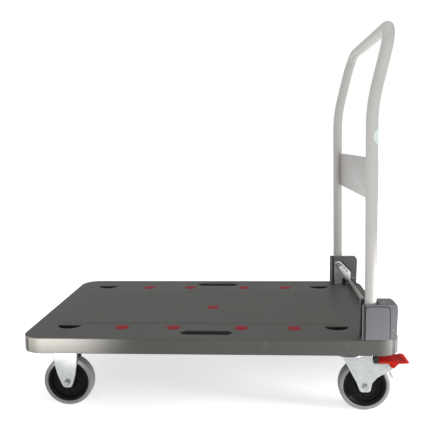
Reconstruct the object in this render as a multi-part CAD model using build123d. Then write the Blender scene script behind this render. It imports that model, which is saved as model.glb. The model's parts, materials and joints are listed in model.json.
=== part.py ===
from build123d import *
import math
import os

# Folding platform trolley, millimetres, +Z up, floor at Z = 0.
# Everything is drawn about the centre of the deck's top face, then seated:
# X runs along the deck towards the handle, Y across it, Z up from the deck top.

os.makedirs("parts", exist_ok=True)

# seating in the row frame
SEAT_X = -16.3
DECK_TOP = 184.5

# deck
DECK_X = (-450.0, 460.0)
DECK_W = 600.0
DECK_H = 37.5
DECK_CORNER_R = 50.0
DECK_TOP_FILLET = 2.0
DECK_FOOT_FILLET = 1.2
SKIN_T = 5.0
SKIRT_T = 4.0
RIB_T = 3.0
RIB_FOOT_Z = -29.0
RIB_X = [-280.0, -210.0, -140.0, -70.0, 0.0, 70.0, 140.0, 210.0, 280.0]
RIB_Y = [-180.0, -120.0, -60.0, 0.0, 60.0, 120.0, 180.0]
FIELD_X = (-405.0, 345.0)
FIELD_HALF_Y = 176.0
FIELD_R = 14.0
FIELD_T = 0.4
SLOT_L = 128.0
SLOT_W = 32.0
SLOT_Y = 248.0
COLLAR_T = 3.0
POCKET_R = 30.0
POCKET_DEPTH = 12.0
POCKET_X = (-355.0, 323.0)
POCKET_CHORD_Y = (-193.0, 227.0)
POCKET_WALL = 3.0
DOT_R = 17.5
DOT_T = 3.0
DOT_RISE = 0.8
DOT_EDGE = 0.35
DOT_X = (-216.8, -86.0, 86.0, 216.8)
DOT_Y = 208.7
DOT_MID = (2.0, -22.0)
SEAM = 0.05
OVERLAP = 1.0
ROUND_END = 0.1

# casters, shared
AXLE_Z = -123.0
WHEEL_R = 61.5
TYRE_IN_R = 51.2
TYRE_HALF = 16.0
SHOULDER_R = 58.2
HUB_HALF = 18.5
HUB_BOSS_R = 19.0
HUB_FACE_R = 15.0
HUB_CONE = 6.0
WEB_HALF = 4.0
RIM_IN_R = 44.2
RIM_HALF = 15.0
RIM_FLARE = 2.0
SLEEVE_R = 8.5
RUNNING = 0.08
AXLE_R = 5.0
AXLE_HEX_R = 7.6
AXLE_HEAD_T = 5.5
AXLE_NUT_T = 6.5
AXLE_TAIL = 8.0
LEG_IN = 20.0
LEG_T = 3.5
LEG_OUT = LEG_IN + LEG_T
PAD_FOOT_Z = -29.5
PLATE_T = 4.0
PLATE_FOOT_Z = PAD_FOOT_Z - PLATE_T
PLATE_L = 105.0
PLATE_W = 84.0
PLATE_R = 6.0
PLATE_HOLE_DX = 40.0
PLATE_HOLE_DY = 30.0
PLATE_BOLT_R = 4.0
PLATE_HEAD_R = 6.5
PLATE_HEAD_T = 5.0
INSERT_R = 6.5
INSERT_TOP_Z = -13.0
BOLT_SHORT = 2.0
HOLE_PLAY = 0.4

# fixed casters
FIXED_X = -345.0
FIXED_Y = 245.5
FIXED_LEG = [(-33.5, -33.5), (-32.5, -60), (-30.5, -79), (-24, -105), (-14, -126), (13, -126), (20.5, -105),
             (25, -79), (26.5, -55), (26.5, -33.5)]
FIXED_LEG_END_R = 14.0

# swivel casters
SWIVEL_X = 345.0
SWIVEL_Y = 253.0
TRAIL = 37.0
RACE_R = 31.0
RACE_T = 3.0
BALL_R = 2.5
BALL_RING_R = 25.0
BALL_COUNT = 18
FORK_TOP_Z = -42.0
FORK_T = 4.0
FORK_DISC_R = 37.0
KINGPIN_R = 8.0
KINGPIN_HEAD_R = 12.0
KINGPIN_HEAD_T = 5.0
KINGPIN_END_Z = -56.0
KINGPIN_NUT_GAP = 0.3
FORK_SIDE = [(-60, -42), (-22, -111), (-14.5, -128), (13.5, -130), (16, -113), (26, -101), (41, -91),
             (53, -83), (66, -76), (67, -63), (18, -62.8), (14, -50), (12, -42)]
FORK_LIP = 1.2
FORK_LIP_T = 0.8
RACE_PLAY = 0.05
FORK_END_R = 15.0
EAR_PIN_R = 3.5
EAR_PIN_PLAY = 0.06
EAR_PIN_PROUD = 0.4

# brake
PEDAL_PIVOT = (443.0, -67.0)
PEDAL_HALF = 28.5
PEDAL_CHEEK_T = 3.2
PEDAL_SIDE = [(411, -57), (452, -57.5), (464, -59), (474, -56.5), (482.3, -59), (480.5, -61.5), (468, -62.5),
              (458.5, -62.5), (447, -73.5), (440, -72), (436, -62.5), (411, -61.5)]
PEDAL_TIP_CUT = 9.0
PEDAL_ROOF_Z = -60.5
PEDAL_HOLLOW_X = (400.0, 452.0)
CAP_SIDE = [(401, -46.5), (410.9, -47.5), (410.9, -61.4), (401, -60)]
CAP_BAR_T = 3.0
SHOE_GAP = 5.5
SHOE_T = 3.0
SHOE_HALF = 14.0
SHOE_FROM = 16.0
SHOE_TO = 40.0
SHOE_ARM_HALF = 11.0
SHOE_ARM = [(437, -87), (436, -82), (439.5, -67), (446.5, -67), (445, -86), (441.5, -93)]
SHOE_EYE_T = 2.3

# hinge brackets and covers (drawn on the far side, +Y, then mirrored)
POST_Y = 281.7
POST_R = 13.6
POST_WALL = 1.5
PIVOT = (390.0, 30.0)
PIN_R = 5.0
PIVOT_PIN_Y = 263.7
INNER_PLATE_Y = (264.0, 267.0)
OUTER_PLATE_Y = (295.9, 297.5)
BRACKET_BASE_T = 3.0
BRACKET_X = (379.0, 442.6)
BRACKET_INNER = [(380, 0), (380, 68), (384, 73), (398, 73), (432, 38), (442.6, 38), (442.6, 0)]
BRACKET_OUTER = [(379, 0), (379, 46), (386, 50), (394, 50), (442.6, 30), (442.6, 0)]
BRACKET_WEB_X = (439.6, 442.6)
BRACKET_WEB_Z = 30.0
BRACKET_BOLT_X = (402.0, 431.5)
BRACKET_BOLT_Y = 281.0
BRACKET_HEAD_R = 7.0
BRACKET_HEAD_T = 2.0
BRACKET_BOLT_FOOT_Z = -17.0
BRACKET_INSERT_FOOT_Z = -19.0
HINGE_PAD = (372.0, 452.0, 262.0, 297.0)
HINGE_PAD_FOOT_Z = -20.0
COVER_TOP = 90.5
COVER_TOP_OUTER = 85.5
COVER_SIDE = [(367.5, 0.4), (367.5, 86.5), (371.5, COVER_TOP), (438.5, COVER_TOP), (445, 87.5), (448.5, 82),
              (449.5, 75), (447.5, 0.4)]
COVER_CAVITY = [(369.9, -1), (369.9, 81.0), (372.1, 83.2), (438.5, 83.2), (445, 79), (446.7, 74), (444.8, -1)]
COVER_LONG_FILLET = 2.0
COVER_FACE_FILLET = 1.0
COVER_Y = (260.5, 298.9)
COVER_CAVITY_Y = (263.6, 297.7)
COVER_SLOT_X = 406.0
COVER_SLOT_Y = 267.6
PANEL_X = (376.5, 431.0)
PANEL_Z = (4.5, 79.5)
PANEL_R = 8.5
PANEL_Y = 300.0
GROOVE_W = 2.0
GROOVE_DEPTH = 0.5
WINDOW = [(377, -1), (377, 77), (399, 77), (430, 45), (430, -1)]
PARTITION_X = (406.0, 408.4)
PARTITION_Z = (74.0, 83.6)
COVER_SCREW_R = 2.0
COVER_SCREW_HEAD_R = 4.0
COVER_SCREW_HEAD_T = 2.0
SIDE_HEAD_T = 1.1
SIDE_SCREW = (438.5, 24.0)
TOP_SCREW = (419.0, 283.0)
TOP_BOSS_R = 4.5
TOP_SEAT_Z = 86.5
TOP_SEAT_R = 4.4
TOP_BOSS_Z = 74.0
TOP_SCREW_FOOT_Z = 78.0
INNER_SCREW = (438.5, 19.0)

# release bar and lock levers
LEVER_PIVOT = (388.5, 64.0)
BAR_AT = (424.0, 14.0)
BAR_R = 5.5
BAR_WALL = 1.4
BAR_END_Y = 287.0
LEVER_Y = (259.6, 263.5)
LEVER_SIDE = [(380.2, 65), (382, 71.5), (388, 74.2), (396, 73), (424, 45), (429, 39), (429.5, 14), (427, 8.4),
              (420, 7.4), (414.5, 10.5)]
LEVER_TRAVEL = 8.0
LEVER_PIN_R = 3.5
ARC_PLAY = 0.8
ARC_STEPS = 5
LEVER_HEAD_R = 5.5
LEVER_HEAD_Y = 257.6
LEVER_KNOB_R = 5.0
LEVER_KNOB_Y = (247.5, 249.2)
STOP_X = (403.5, 411.0)
STOP_TOP_Z = 19.0
STOP_Y = (254.5, 259.2)
STOP_FOOT_Y = (246.0, 259.2)
STOP_FOOT_T = 2.5
STOP_PEG_Y = (249.6, 255.4)
STOP_PEG_FOOT_Z = -2.9
STOP_PEG_IN = 1.6
SPRING_R = 6.2
SPRING_WIRE_R = 0.8
SPRING_TURNS = 3
SPRING_Y = 254.8
SPRING_GAP = 0.15

# handle
FOOT = (391.0, 12.0)
KNEE = (385.2, 540.0)
CROWN_AT = (427.5, 721.0)
KNEE_R = 400.0
CORNER_R = 70.0
PANEL_LOW_Z = 320.0
PANEL_HIGH_Z = 420.0
PANEL_FRONT = 7.5
PANEL_BACK = 17.5
PANEL_T = 1.6
PANEL_LIP = 12.0
PANEL_HALF_Y = 270.0
LABEL_Z = 471.0
LABEL_R = 20.0
LABEL_T = 0.3
LABEL_TURN = -4.0
PLUG_T = 2.0
PLUG_DEEP = 9.0
PLUG_PLAY = 0.3
BUSH_R = 7.5
BUSH_PROUD = (0.6, 0.4)
LUG_T = 5.0
LUG_SIDE = [(402.2, 20.3), (424, 20.3), (431, 22.5), (431.5, 36), (418, 50), (401.9, 56)]

both = (-1, 1)


def block(x0, x1, y0, y1, z0, z1):
    size = Box(x1 - x0, y1 - y0, z1 - z0)
    return Pos((x0 + x1) / 2, (y0 + y1) / 2, (z0 + z1) / 2) * size


def side_plate(points, y0, y1):
    """A plate cut to a side outline of (x, z) points, standing between y0 and y1."""
    outline = Polyline([(x, y0, z) for x, z in points], close=True)
    return extrude(make_face(outline), amount=y1 - y0, dir=(0, 1, 0))


def rod_y(x, z, radius, y0, y1):
    return Pos(x, (y0 + y1) / 2, z) * Rot(90, 0, 0) * Cylinder(radius, y1 - y0)


def rod_z(x, y, radius, z0, z1):
    return Pos(x, y, (z0 + z1) / 2) * Cylinder(radius, z1 - z0)


def hex_z(x, y, radius, z0, z1):
    base = Pos(x, y, z0) * RegularPolygon(radius, 6)
    return extrude(base, amount=z1 - z0)


def hex_y(x, z, radius, y0, y1):
    base = Plane((x, y0, z), x_dir=(1, 0, 0), z_dir=(0, 1, 0)) * RegularPolygon(radius, 6)
    return extrude(base, amount=y1 - y0)


def pipe_y(x, z, inner, outer, y0, y1):
    return rod_y(x, z, outer, y0, y1) - rod_y(x, z, inner, y0 - 1, y1 + 1)


def lathe_y(profile, x, y, z):
    """A body of revolution about a line along Y; the profile is (radius, y) points."""
    outline = make_face(Polyline([(r, v, 0) for r, v in profile], close=True))
    return Pos(x, y, z) * revolve(outline, axis=Axis.Y)


def rounded_plate(x0, x1, y0, y1, z0, z1, radius):
    base = Pos((x0 + x1) / 2, (y0 + y1) / 2, z0) * RectangleRounded(x1 - x0, y1 - y0, radius)
    return extrude(base, amount=z1 - z0)


def mirrored(shape):
    return mirror(shape, about=Plane.XZ)


def gather(shapes):
    return Compound(children=[Compound(list(s.solids())) for s in shapes])


nodes = {}

# ---------------------------------------------------------------- deck
caster_spots = [(FIXED_X, FIXED_Y), (SWIVEL_X, SWIVEL_Y)]
plate_offsets = [(dx, dy) for dx in (-PLATE_HOLE_DX, PLATE_HOLE_DX) for dy in (-PLATE_HOLE_DY, PLATE_HOLE_DY)]


def dot_spots():
    spots = [(x, side * DOT_Y) for side in both for x in DOT_X]
    spots.append(DOT_MID)
    return spots


def pocket_sketch(x, chord_y, grow):
    """A half disc below its chord, grown by a margin all round."""
    disc = Pos(x, chord_y) * Circle(POCKET_R + grow)
    below = Pos(x, chord_y + grow - 2 * POCKET_R) * Rectangle(4 * POCKET_R, 4 * POCKET_R)
    return disc & below


def deck_slab(inset, z0, z1):
    """The deck's rounded outline, drawn in by inset, between two heights."""
    return rounded_plate(DECK_X[0] + inset, DECK_X[1] - inset, -DECK_W / 2 + inset, DECK_W / 2 - inset,
                         z0, z1, DECK_CORNER_R - inset)


def deck_ribs():
    """Ribs, caster pads, hinge pads, slot collars and pocket cups under the top skin."""
    x_low = DECK_X[0] + SKIRT_T
    x_high = DECK_X[1] - SKIRT_T
    half_w = DECK_W / 2 - SKIRT_T
    half_rib = RIB_T / 2
    ribs = block(RIB_X[0] - half_rib, RIB_X[0] + half_rib, -half_w, half_w, RIB_FOOT_Z, -SKIN_T)
    for x in RIB_X[1:]:
        ribs += block(x - half_rib, x + half_rib, -half_w, half_w, RIB_FOOT_Z, -SKIN_T)
    for y in RIB_Y:
        ribs += block(x_low, x_high, y - half_rib, y + half_rib, RIB_FOOT_Z, -SKIN_T)
    for side in both:
        for x, y in caster_spots:
            half_x = PLATE_L / 2 + RIB_T
            y0, y1 = sorted((side * (y - PLATE_W / 2 - RIB_T), side * half_w))
            ribs += block(x - half_x, x + half_x, y0, y1, PAD_FOOT_Z, -SKIN_T)
        y0, y1 = sorted((side * HINGE_PAD[2], side * HINGE_PAD[3]))
        ribs += block(HINGE_PAD[0], HINGE_PAD[1], y0, y1, HINGE_PAD_FOOT_Z, -SKIN_T)
        half_x = SLOT_L / 2 + COLLAR_T
        half_y = SLOT_W / 2 + COLLAR_T
        y = side * SLOT_Y
        corner = half_y - ROUND_END
        ribs += rounded_plate(-half_x, half_x, y - half_y, y + half_y, RIB_FOOT_Z, -SKIN_T, corner)
    for x in POCKET_X:
        for chord in POCKET_CHORD_Y:
            cup = Pos(0, 0, -POCKET_DEPTH - POCKET_WALL) * pocket_sketch(x, chord, POCKET_WALL)
            ribs += extrude(cup, amount=POCKET_DEPTH + POCKET_WALL - SKIN_T)
    return ribs & deck_slab(SKIRT_T - OVERLAP, RIB_FOOT_Z, -SKIN_T + OVERLAP)


def build_deck():
    outer = deck_slab(0, -DECK_H, 0)
    outer = fillet(outer.edges().group_by(Axis.Z)[-1], DECK_TOP_FILLET)
    outer = fillet(outer.edges().group_by(Axis.Z)[0], DECK_FOOT_FILLET)
    deck = outer - deck_slab(SKIRT_T, -DECK_H - OVERLAP, -SKIN_T)
    deck += deck_ribs()
    deck += rounded_plate(*FIELD_X, -FIELD_HALF_Y, FIELD_HALF_Y, -OVERLAP, FIELD_T, FIELD_R)
    half_l = SLOT_L / 2
    half_w = SLOT_W / 2
    for side in both:
        y = side * SLOT_Y
        deck -= rounded_plate(-half_l, half_l, y - half_w, y + half_w, -DECK_H, OVERLAP, half_w - ROUND_END)
        for x, yc in caster_spots:
            for dx, dy in plate_offsets:
                y = side * yc + dy
                deck -= rod_z(x + dx, y, INSERT_R + SEAM, PAD_FOOT_Z - OVERLAP, INSERT_TOP_Z + SEAM)
        y = side * BRACKET_BOLT_Y
        for x in BRACKET_BOLT_X:
            deck -= rod_z(x, y, PLATE_BOLT_R + HOLE_PLAY, -SKIN_T - OVERLAP, OVERLAP)
            deck -= rod_z(x, y, INSERT_R + SEAM, BRACKET_INSERT_FOOT_Z, -SKIN_T)
        y0, y1 = sorted((side * (STOP_PEG_Y[0] - SEAM), side * (STOP_PEG_Y[1] + SEAM)))
        x0 = STOP_X[0] + STOP_PEG_IN - SEAM
        x1 = STOP_X[1] - STOP_PEG_IN + SEAM
        deck -= block(x0, x1, y0, y1, STOP_PEG_FOOT_Z - SEAM, OVERLAP)
        head_top = PAD_FOOT_Z + KINGPIN_HEAD_T
        deck -= rod_z(SWIVEL_X, side * SWIVEL_Y, KINGPIN_HEAD_R + 1, PAD_FOOT_Z - OVERLAP, head_top + 2)
    for x in POCKET_X:
        for chord in POCKET_CHORD_Y:
            well = Pos(0, 0, -POCKET_DEPTH) * pocket_sketch(x, chord, 0)
            deck -= extrude(well, amount=POCKET_DEPTH + OVERLAP)
    for x, y in dot_spots():
        deck -= rod_z(x, y, DOT_R + SEAM, -DOT_T, OVERLAP)
    return deck


nodes["deck_shell"] = build_deck()

dots = []
for x, y in dot_spots():
    top = FIELD_T if (x, y) == DOT_MID else DOT_RISE
    pad = rod_z(x, y, DOT_R, -DOT_T + SEAM, top)
    pad = chamfer(pad.edges().group_by(Axis.Z)[-1], DOT_EDGE)
    dots.append(pad)
nodes["grip_dots"] = gather(dots)


# ---------------------------------------------------------------- wheels
def build_hub(x, y):
    profile = [
        (SLEEVE_R + RUNNING, -HUB_HALF),
        (HUB_FACE_R, -HUB_HALF),
        (HUB_BOSS_R, -HUB_HALF + HUB_CONE),
        (HUB_BOSS_R, -WEB_HALF),
        (RIM_IN_R, -WEB_HALF),
        (RIM_IN_R + RIM_FLARE, -RIM_HALF),
        (TYRE_IN_R - SEAM, -RIM_HALF),
    ]
    far = [(r, -v) for r, v in reversed(profile)]
    return lathe_y(profile + far, x, y, AXLE_Z)


def build_tyre(x, y):
    profile = [
        (TYRE_IN_R, -TYRE_HALF + 1),
        (TYRE_IN_R + 1.5, -TYRE_HALF),
        (SHOULDER_R, -TYRE_HALF),
        (WHEEL_R - 1.4, -TYRE_HALF + 2.2),
        (WHEEL_R - 0.3, -TYRE_HALF / 2),
        (WHEEL_R, -3.0),
    ]
    far = [(r, -v) for r, v in reversed(profile)]
    return lathe_y(profile + far, x, y, AXLE_Z)


def build_axle(x, y):
    """Bolt head towards +Y of the local pair, shank through both legs."""
    head = hex_y(x, AXLE_Z, AXLE_HEX_R, y + LEG_OUT, y + LEG_OUT + AXLE_HEAD_T)
    shank = rod_y(x, AXLE_Z, AXLE_R, y - LEG_OUT - AXLE_TAIL, y + LEG_OUT + OVERLAP)
    return head + shank


def build_nut(x, y):
    nut = hex_y(x, AXLE_Z, AXLE_HEX_R, y - LEG_OUT - AXLE_NUT_T, y - LEG_OUT)
    return nut - rod_y(x, AXLE_Z, AXLE_R + SEAM, y - LEG_OUT - AXLE_TAIL, y - LEG_OUT + OVERLAP)


def build_sleeve(x, y):
    return pipe_y(x, AXLE_Z, AXLE_R + SEAM, SLEEVE_R, y - LEG_IN, y + LEG_IN)


def plate_holes(x, y):
    return [rod_z(x + dx, y + dy, PLATE_BOLT_R + HOLE_PLAY, PLATE_FOOT_Z - OVERLAP, PAD_FOOT_Z + OVERLAP)
            for dx, dy in plate_offsets]


def caster_plate(x, y):
    plate = rounded_plate(x - PLATE_L / 2, x + PLATE_L / 2, y - PLATE_W / 2, y + PLATE_W / 2,
                          PLATE_FOOT_Z, PAD_FOOT_Z, PLATE_R)
    for hole in plate_holes(x, y):
        plate -= hole
    return plate


def build_fixed_fork(x, y):
    fork = caster_plate(x, y)
    leg = [(x + px, pz) for px, pz in FIXED_LEG]
    for y0, y1 in ((y - LEG_OUT, y - LEG_IN), (y + LEG_IN, y + LEG_OUT)):
        fork += side_plate(leg, y0, y1)
        fork += rod_y(x, AXLE_Z, FIXED_LEG_END_R, y0, y1)
    fork -= rod_y(x, AXLE_Z, AXLE_R + SEAM, y - LEG_OUT - OVERLAP, y + LEG_OUT + OVERLAP)
    return fork


def build_swivel_plate(x, y):
    plate = caster_plate(x, y)
    race = rod_z(x, y, RACE_R, PLATE_FOOT_Z - RACE_T, PLATE_FOOT_Z)
    groove = Pos(x, y, FORK_TOP_Z + BALL_R) * Torus(BALL_RING_R, BALL_R + RACE_PLAY)
    body = plate + race - groove
    return body - rod_z(x, y, KINGPIN_R + SEAM, PLATE_FOOT_Z - RACE_T - OVERLAP, PAD_FOOT_Z + OVERLAP)


def build_balls(x, y):
    balls = []
    for i in range(BALL_COUNT):
        turn = 2 * math.pi * i / BALL_COUNT
        at = Pos(x + BALL_RING_R * math.cos(turn), y + BALL_RING_R * math.sin(turn), FORK_TOP_Z + BALL_R)
        balls.append(at * Sphere(BALL_R - SEAM))
    return gather(balls)


def build_swivel_fork(x, y):
    wheel_x = x + TRAIL
    disc = rod_z(x, y, FORK_DISC_R, FORK_TOP_Z - FORK_T, FORK_TOP_Z)
    bridge = block(x, wheel_x + FORK_SIDE[-1][0], y - LEG_OUT, y + LEG_OUT, FORK_TOP_Z - FORK_T, FORK_TOP_Z)
    fork = disc + bridge
    leg = [(wheel_x + px, pz) for px, pz in FORK_SIDE]
    for y0, y1 in ((y - LEG_OUT, y - LEG_IN), (y + LEG_IN, y + LEG_OUT)):
        fork += side_plate(leg, y0, y1)
        fork += rod_y(wheel_x, AXLE_Z, FORK_END_R, y0, y1)
    groove = Pos(x, y, FORK_TOP_Z + BALL_R) * Torus(BALL_RING_R, BALL_R + RACE_PLAY)
    lip = rod_z(x, y, BALL_RING_R + FORK_LIP, FORK_TOP_Z - OVERLAP, FORK_TOP_Z + FORK_LIP_T)
    lip -= rod_z(x, y, BALL_RING_R - FORK_LIP, FORK_TOP_Z - 2 * OVERLAP, FORK_TOP_Z + OVERLAP)
    fork += lip
    fork -= groove
    fork -= rod_z(x, y, KINGPIN_R + RUNNING, FORK_TOP_Z - FORK_T - OVERLAP, FORK_TOP_Z + OVERLAP)
    fork -= rod_y(wheel_x, AXLE_Z, AXLE_R + SEAM, y - LEG_OUT - OVERLAP, y + LEG_OUT + OVERLAP)
    px, pz = PEDAL_PIVOT
    fork -= rod_y(px, pz, EAR_PIN_R + SEAM, y - LEG_OUT - OVERLAP, y + LEG_OUT + OVERLAP)
    return fork


def build_kingpin(x, y):
    head = rod_z(x, y, KINGPIN_HEAD_R, PAD_FOOT_Z, PAD_FOOT_Z + KINGPIN_HEAD_T)
    shank = rod_z(x, y, KINGPIN_R, KINGPIN_END_Z, PAD_FOOT_Z + OVERLAP)
    nut = hex_z(x, y, KINGPIN_HEAD_R, KINGPIN_END_Z, FORK_TOP_Z - FORK_T - KINGPIN_NUT_GAP)
    return head + shank + nut


def build_pedal(y):
    outer = side_plate(PEDAL_SIDE, y - PEDAL_HALF, y + PEDAL_HALF)
    half = PEDAL_HALF - PEDAL_CHEEK_T
    foot_z = PEDAL_PIVOT[1] - WHEEL_R
    tip = max(x for x, z in PEDAL_SIDE)
    for side in both:
        wide = side * (PEDAL_HALF + OVERLAP)
        low = side * (PEDAL_HALF - PEDAL_TIP_CUT)
        corner = [(tip - PEDAL_TIP_CUT, wide), (tip + OVERLAP, wide), (tip + OVERLAP, low)]
        outline = Polyline([(x, y + dy, foot_z) for x, dy in corner], close=True)
        outer -= extrude(make_face(outline), amount=WHEEL_R, dir=(0, 0, 1))
    pedal = outer - block(PEDAL_HOLLOW_X[0], PEDAL_HOLLOW_X[1], y - half, y + half, foot_z, PEDAL_ROOF_Z)
    return pedal - pivot_rod(EAR_PIN_R + EAR_PIN_PLAY, y, PEDAL_HALF + OVERLAP)


def pivot_rod(radius, y, half):
    return rod_y(PEDAL_PIVOT[0], PEDAL_PIVOT[1], radius, y - half, y + half)


def build_cap(y):
    """Black end of the pedal: two cheeks and a bar across their tops."""
    inner = LEG_OUT + OVERLAP
    cap = side_plate(CAP_SIDE, y - PEDAL_HALF, y - inner) + side_plate(CAP_SIDE, y + inner, y + PEDAL_HALF)
    x0 = CAP_SIDE[0][0]
    x1, top = CAP_SIDE[1]
    return cap + block(x0, x1, y - PEDAL_HALF, y + PEDAL_HALF, top - CAP_BAR_T, top)


def build_shoe(x, y):
    """Curved pad just off the tread, on a short arm under the pedal's pivot."""
    wheel_x = x + TRAIL
    low_r = WHEEL_R + SHOE_GAP
    pad = pipe_y(wheel_x, AXLE_Z, low_r, low_r + SHOE_T, y - SHOE_HALF, y + SHOE_HALF)
    reach = 2 * WHEEL_R
    wedge = [(wheel_x, AXLE_Z)]
    for deg in (SHOE_FROM, SHOE_TO):
        turn = math.radians(deg)
        wedge.append((wheel_x + reach * math.cos(turn), AXLE_Z + reach * math.sin(turn)))
    pad = pad & side_plate(wedge, y - SHOE_HALF, y + SHOE_HALF)
    arm = side_plate(SHOE_ARM, y - SHOE_ARM_HALF, y + SHOE_ARM_HALF)
    arm -= rod_y(wheel_x, AXLE_Z, low_r + SHOE_T / 2, y - SHOE_HALF, y + SHOE_HALF)
    shoe = pad + arm + pivot_rod(EAR_PIN_R + SHOE_EYE_T, y, SHOE_ARM_HALF)
    return shoe - pivot_rod(EAR_PIN_R + EAR_PIN_PLAY, y, PEDAL_HALF)


def build_pedal_pin(y):
    return pivot_rod(EAR_PIN_R, y, PEDAL_HALF + EAR_PIN_PROUD)


def plate_bolt(x, y):
    head = hex_z(x, y, PLATE_HEAD_R, PLATE_FOOT_Z - PLATE_HEAD_T, PLATE_FOOT_Z)
    return head + rod_z(x, y, PLATE_BOLT_R, PLATE_FOOT_Z - OVERLAP, INSERT_TOP_Z - BOLT_SHORT)


def plate_insert(x, y):
    body = rod_z(x, y, INSERT_R, PAD_FOOT_Z, INSERT_TOP_Z)
    return body - rod_z(x, y, PLATE_BOLT_R + SEAM, PAD_FOOT_Z - OVERLAP, INSERT_TOP_Z - BOLT_SHORT + SEAM)


for tag, side in zip(("near", "far"), both):
    fy = side * FIXED_Y
    nodes["fixed_fork_" + tag] = build_fixed_fork(FIXED_X, fy)
    nodes["fixed_hub_" + tag] = build_hub(FIXED_X, fy)
    nodes["fixed_tyre_" + tag] = build_tyre(FIXED_X, fy)
    sy = side * SWIVEL_Y
    wx = SWIVEL_X + TRAIL
    nodes["swivel_plate_" + tag] = build_swivel_plate(SWIVEL_X, sy)
    nodes["swivel_balls_" + tag] = build_balls(SWIVEL_X, sy)
    nodes["swivel_fork_" + tag] = build_swivel_fork(SWIVEL_X, sy)
    nodes["swivel_hub_" + tag] = build_hub(wx, sy)
    nodes["swivel_tyre_" + tag] = build_tyre(wx, sy)
    nodes["swivel_axle_" + tag] = gather([build_axle(wx, sy), build_nut(wx, sy), build_sleeve(wx, sy)])
    nodes["pedal_" + tag] = build_pedal(sy)
    nodes["pedal_cap_" + tag] = build_cap(sy)
    nodes["brake_shoe_" + tag] = build_shoe(SWIVEL_X, sy)
    nodes["pedal_pin_" + tag] = build_pedal_pin(sy)

nodes["fixed_axles"] = gather([build_axle(FIXED_X, s * FIXED_Y) for s in both])
nodes["fixed_nuts"] = gather([build_nut(FIXED_X, s * FIXED_Y) for s in both])
nodes["fixed_sleeves"] = gather([build_sleeve(FIXED_X, s * FIXED_Y) for s in both])
nodes["kingpins"] = gather([build_kingpin(SWIVEL_X, s * SWIVEL_Y) for s in both])

bolt_list = []
insert_list = []
for s in both:
    for cx, cy in caster_spots:
        for dx, dy in plate_offsets:
            bolt_list.append(plate_bolt(cx + dx, s * cy + dy))
            insert_list.append(plate_insert(cx + dx, s * cy + dy))
nodes["plate_bolts"] = gather(bolt_list)


# ---------------------------------------------------------------- hinge side
def near_inner(point, radius):
    """A rod through the inner plate and what is fastened to it."""
    return rod_y(point[0], point[1], radius, STOP_FOOT_Y[0], INNER_PLATE_Y[1] + OVERLAP)


def near_outer(point, radius):
    return rod_y(point[0], point[1], radius, OUTER_PLATE_Y[0] - OVERLAP, PANEL_Y + OVERLAP)


def lever_arc(radius):
    """The slot the bar's end sweeps in the inner plate."""
    px, pz = LEVER_PIVOT
    dx = BAR_AT[0] - px
    dz = BAR_AT[1] - pz
    cut = []
    for i in range(-1, ARC_STEPS + 1):
        turn = -math.radians(LEVER_TRAVEL) * i / (ARC_STEPS - 1)
        x = px + dx * math.cos(turn) - dz * math.sin(turn)
        z = pz + dx * math.sin(turn) + dz * math.cos(turn)
        cut.append(near_inner((x, z), radius))
    return cut


def build_bracket():
    y0 = INNER_PLATE_Y[0]
    y1 = OUTER_PLATE_Y[1]
    bracket = side_plate(BRACKET_INNER, *INNER_PLATE_Y) + side_plate(BRACKET_OUTER, *OUTER_PLATE_Y)
    bracket += block(BRACKET_X[0], BRACKET_X[1], y0, y1, 0, BRACKET_BASE_T)
    bracket += block(BRACKET_WEB_X[0], BRACKET_WEB_X[1], y0, y1, 0, BRACKET_WEB_Z)
    bracket -= rod_y(PIVOT[0], PIVOT[1], PIN_R + SEAM, y0 - OVERLAP, y1 + OVERLAP)
    bracket -= near_inner(LEVER_PIVOT, LEVER_PIN_R + SEAM)
    for cut in lever_arc(BAR_R + ARC_PLAY):
        bracket -= cut
    for x in BRACKET_BOLT_X:
        bracket -= rod_z(x, BRACKET_BOLT_Y, PLATE_BOLT_R + HOLE_PLAY, -OVERLAP, BRACKET_BASE_T + OVERLAP)
    bracket -= near_inner(INNER_SCREW, COVER_SCREW_R + SEAM)
    bracket -= near_outer(SIDE_SCREW, COVER_SCREW_R + SEAM)
    return bracket


def panel_slab(grow, y0, y1):
    """The outer face's panel, rounded at its top corners, grown by a margin."""
    slab = block(PANEL_X[0] - grow, PANEL_X[1] + grow, y0, y1, PANEL_Z[0], PANEL_Z[1] + grow)
    return fillet(slab.edges().filter_by(Axis.Y).group_by(Axis.Z)[-1], PANEL_R + grow)


def top_slope(x_low):
    """What is cut away above the cover's top, which falls towards its outer face."""
    y0, y1 = COVER_Y
    fall = (COVER_TOP - COVER_TOP_OUTER) / (y1 - y0)
    high = 2 * COVER_TOP
    points = [(y0 - OVERLAP, COVER_TOP + fall * OVERLAP), (y1 + OVERLAP, COVER_TOP_OUTER - fall * OVERLAP),
              (y1 + OVERLAP, high), (y0 - OVERLAP, high)]
    outline = make_face(Polyline([(x_low, y, z) for y, z in points], close=True))
    return extrude(outline, amount=DECK_W, dir=(1, 0, 0))


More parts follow.
